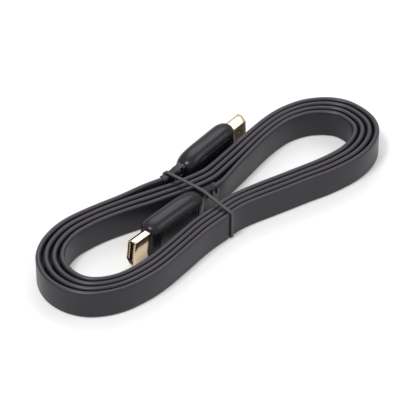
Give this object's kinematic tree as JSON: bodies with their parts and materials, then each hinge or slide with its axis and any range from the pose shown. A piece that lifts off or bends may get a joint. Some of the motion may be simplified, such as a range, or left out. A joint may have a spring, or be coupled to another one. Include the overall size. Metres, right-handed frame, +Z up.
{
  "type": "flat hdmi cable",
  "caption": "Flat black audio and video cable standing on edge in a long two-looped hank with a thin tie round its waist and a pale gold plug at each end.",
  "frame": {"origin": "middle of the footprint on the floor that the hank stands on", "axes": "+X along the hank towards the loop that plug B points to, +Z up from the floor, +Y towards plug B's side"},
  "size_m": [0.1714, 0.071, 0.0186],
  "materials": {
    "jacket": "satin black flat cable jacket",
    "moulding": "smooth black moulded grip and strain relief",
    "shell": "pale gold plated sheet metal",
    "contact": "gold plated contacts",
    "insert": "black insulator",
    "tie": "thin black tie"
  },
  "bodies": {
    "root": {"cable_hank": "jacket", "plug_a_contact_01": "contact", "plug_a_contact_02": "contact", "plug_a_contact_03": "contact", "plug_a_contact_04": "contact", "plug_a_contact_05": "contact", "plug_a_contact_06": "contact", "plug_a_contact_07": "contact", "plug_a_contact_08": "contact", "plug_a_contact_09": "contact", "plug_a_contact_10": "contact", "plug_a_contact_11": "contact", "plug_a_contact_12": "contact", "plug_a_contact_13": "contact", "plug_a_contact_14": "contact", "plug_a_contact_15": "contact", "plug_a_contact_16": "contact", "plug_a_contact_17": "contact", "plug_a_contact_18": "contact", "plug_a_contact_19": "contact", "plug_a_grip": "moulding", "plug_a_insert": "insert", "plug_a_shell": "shell", "plug_b_contact_01": "contact", "plug_b_contact_02": "contact", "plug_b_contact_03": "contact", "plug_b_contact_04": "contact", "plug_b_contact_05": "contact", "plug_b_contact_06": "contact", "plug_b_contact_07": "contact", "plug_b_contact_08": "contact", "plug_b_contact_09": "contact", "plug_b_contact_10": "contact", "plug_b_contact_11": "contact", "plug_b_contact_12": "contact", "plug_b_contact_13": "contact", "plug_b_contact_14": "contact", "plug_b_contact_15": "contact", "plug_b_contact_16": "contact", "plug_b_contact_17": "contact", "plug_b_contact_18": "contact", "plug_b_contact_19": "contact", "plug_b_grip": "moulding", "plug_b_insert": "insert", "plug_b_shell": "shell", "tie": "tie"}
  },
  "joints": []
}
